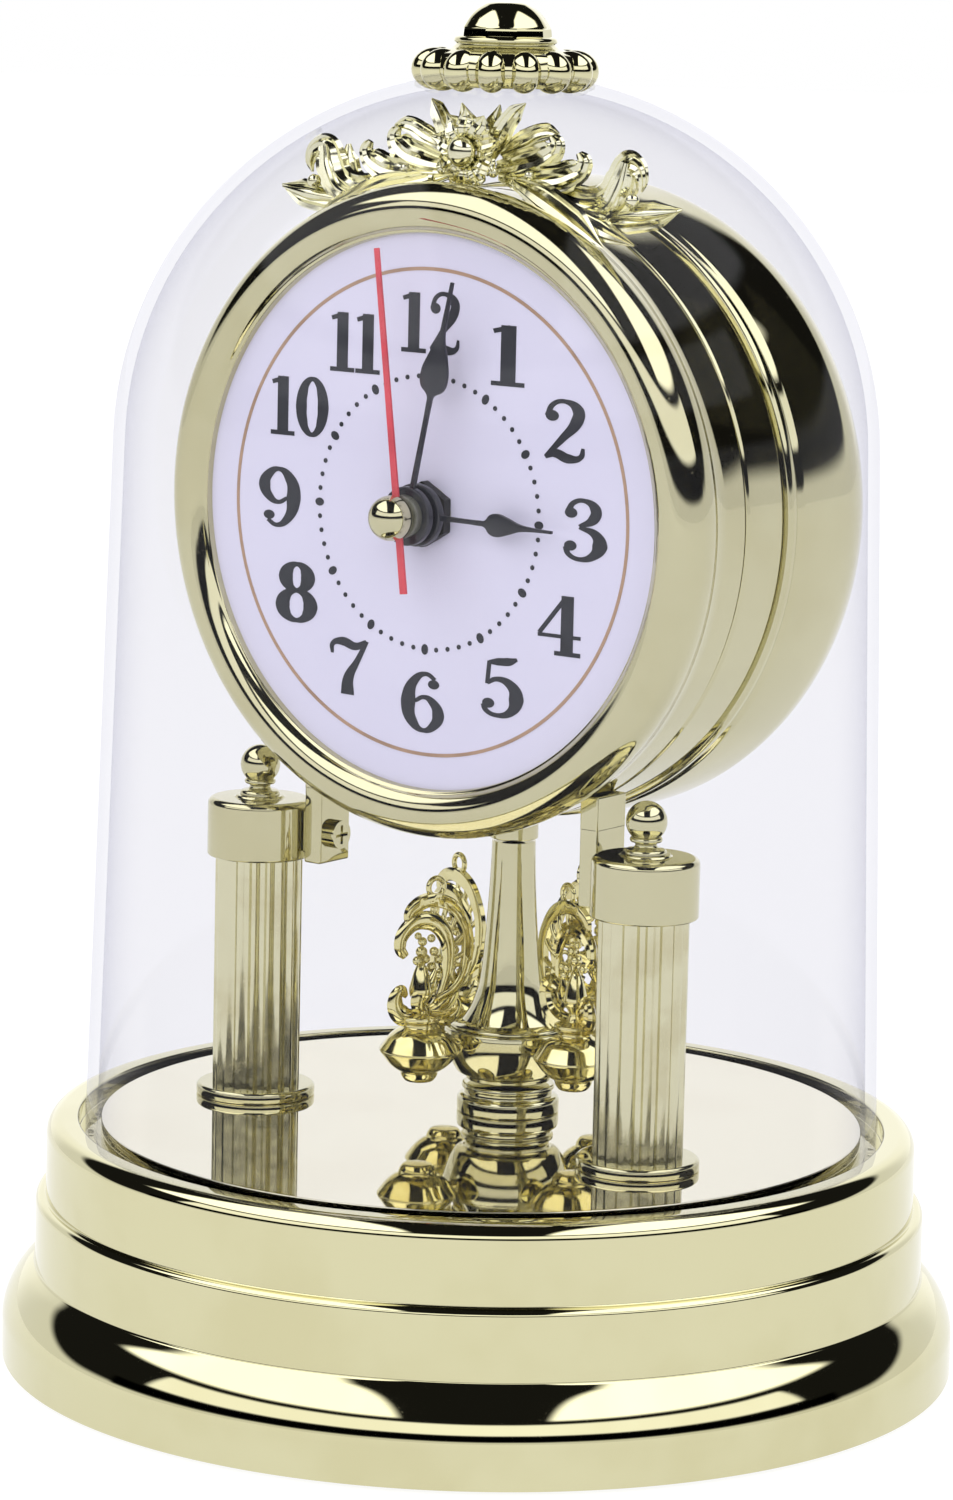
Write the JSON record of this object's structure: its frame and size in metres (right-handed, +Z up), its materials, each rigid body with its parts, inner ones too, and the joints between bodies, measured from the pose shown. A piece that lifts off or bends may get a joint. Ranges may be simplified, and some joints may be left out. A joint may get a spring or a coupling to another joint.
{
  "type": "anniversary clock",
  "caption": "Small gold-plated anniversary clock: tiered round base, fluted columns, drum case with spade hands, rotating scroll pendulum, clear lift-off dome.",
  "frame": {"origin": "centre of the base's resting face, on the soles of the foot pads", "axes": "+Z up along the dome's axis, -Y towards the viewer out of the dial, +X to the viewer's right"},
  "size_m": [0.0998, 0.0998, 0.1413],
  "materials": {
    "gold": "vacuum-plated champagne gold, mirror gloss",
    "polished_plate": "polished, pale gold lacquer",
    "clear": "clear moulded, polished",
    "dial_card": "satin white with printed numerals",
    "hand_black": "gloss black",
    "hand_red": "gloss red",
    "black_plastic": "fine moulded texture",
    "white_plastic": "natural acetal",
    "steel": "bright plated",
    "copper": "enamelled winding wire",
    "board": "solder mask",
    "cell_jacket": "printed jacket without lettering",
    "magnet": "sintered ferrite",
    "rubber": "soft sole"
  },
  "bodies": {
    "base": {"base_shell": "gold", "base_cover": "black_plastic", "cover_screws": "steel", "foot_pads": "rubber", "mirror_plate": "polished_plate", "column_left": "gold", "column_right": "gold", "column_ring_left": "gold", "column_ring_right": "gold", "cap_left": "gold", "cap_right": "gold", "cap_ball_left": "gold", "cap_ball_right": "gold", "strap_left": "gold", "strap_right": "gold", "strap_screws": "steel", "tie_rods": "steel", "pendulum_socket": "gold", "pendulum_cell": "cell_jacket", "cell_contacts": "steel", "drive_board": "board", "drive_coil": "copper", "bezel": "gold", "case_band": "gold", "case_back": "gold", "crest": "gold", "dial": "dial_card", "movement_front": "white_plastic", "movement_back": "white_plastic", "centre_nut": "gold", "stator": "steel", "motor_coil": "copper", "movement_board": "board", "train_bridge": "white_plastic", "movement_cell": "cell_jacket", "movement_contacts": "steel", "stem_ferrule": "gold"},
    "door": {"battery_door": "black_plastic"},
    "switch": {"switch_slider": "white_plastic"},
    "minute": {"centre_wheel": "white_plastic", "minute_hand": "hand_black"},
    "hour": {"hour_wheel": "white_plastic", "hour_hand": "hand_black"},
    "second": {"second_arbor": "steel", "second_hand": "hand_red", "second_cap": "gold"},
    "third": {"third_wheel": "white_plastic"},
    "intermediate": {"intermediate_wheel": "white_plastic"},
    "motor": {"rotor": "magnet"},
    "setting": {"minute_wheel": "white_plastic", "set_knob": "black_plastic"},
    "pendulum": {"pendulum_stem": "gold", "pendulum_hub": "gold", "pendulum_magnet": "magnet", "ornament_front": "gold", "ornament_right": "gold", "ornament_back": "gold", "ornament_left": "gold"},
    "dome": {"dome": "clear", "dome_finial": "gold"}
  },
  "joints": [
    {"name": "minute_turn", "type": "hinge", "parent": "base", "child": "minute", "pos_m": [0, 0, 0.09015], "axis": [0, 1, 0], "continuous": true},
    {"name": "hour_turn", "type": "hinge", "parent": "base", "child": "hour", "pos_m": [0, 0, 0.09015], "axis": [0, 1, 0], "continuous": true},
    {"name": "second_turn", "type": "hinge", "parent": "base", "child": "second", "pos_m": [0, 0, 0.09015], "axis": [0, 1, 0], "continuous": true},
    {"name": "third_turn", "type": "hinge", "parent": "base", "child": "third", "pos_m": [-0.01, 0, 0.09015], "axis": [0, 1, 0], "continuous": true},
    {"name": "intermediate_turn", "type": "hinge", "parent": "base", "child": "intermediate", "pos_m": [0.006, 0, 0.09015], "axis": [0, 1, 0], "continuous": true},
    {"name": "motor_turn", "type": "hinge", "parent": "base", "child": "motor", "pos_m": [0.009, 0, 0.08495], "axis": [0, 1, 0], "continuous": true},
    {"name": "set_knob_turn", "type": "hinge", "parent": "base", "child": "setting", "pos_m": [0, 0, 0.10115], "axis": [0, 1, 0], "continuous": true},
    {"name": "pendulum_turn", "type": "hinge", "parent": "base", "child": "pendulum", "pos_m": [0, 0.0047, 0.03], "axis": [0, 0, 1], "continuous": true},
    {"name": "dome_lift", "type": "slide", "parent": "base", "child": "dome", "axis": [0, 0, 1], "range_m": [0, 0.12]},
    {"name": "battery_door_slide", "type": "slide", "parent": "base", "child": "door", "axis": [1, 0, 0], "range_m": [0, 0.008]},
    {"name": "switch_slide", "type": "slide", "parent": "base", "child": "switch", "axis": [1, 0, 0], "range_m": [0, 0.004]}
  ],
  "couplings": [
    {"joint": "minute_turn", "follows": "second_turn", "ratio": 0.016667},
    {"joint": "hour_turn", "follows": "second_turn", "ratio": 0.0013889},
    {"joint": "third_turn", "follows": "second_turn", "ratio": -0.13333},
    {"joint": "intermediate_turn", "follows": "second_turn", "ratio": -5},
    {"joint": "motor_turn", "follows": "second_turn", "ratio": 30},
    {"joint": "set_knob_turn", "follows": "second_turn", "ratio": -0.0055556}
  ]
}
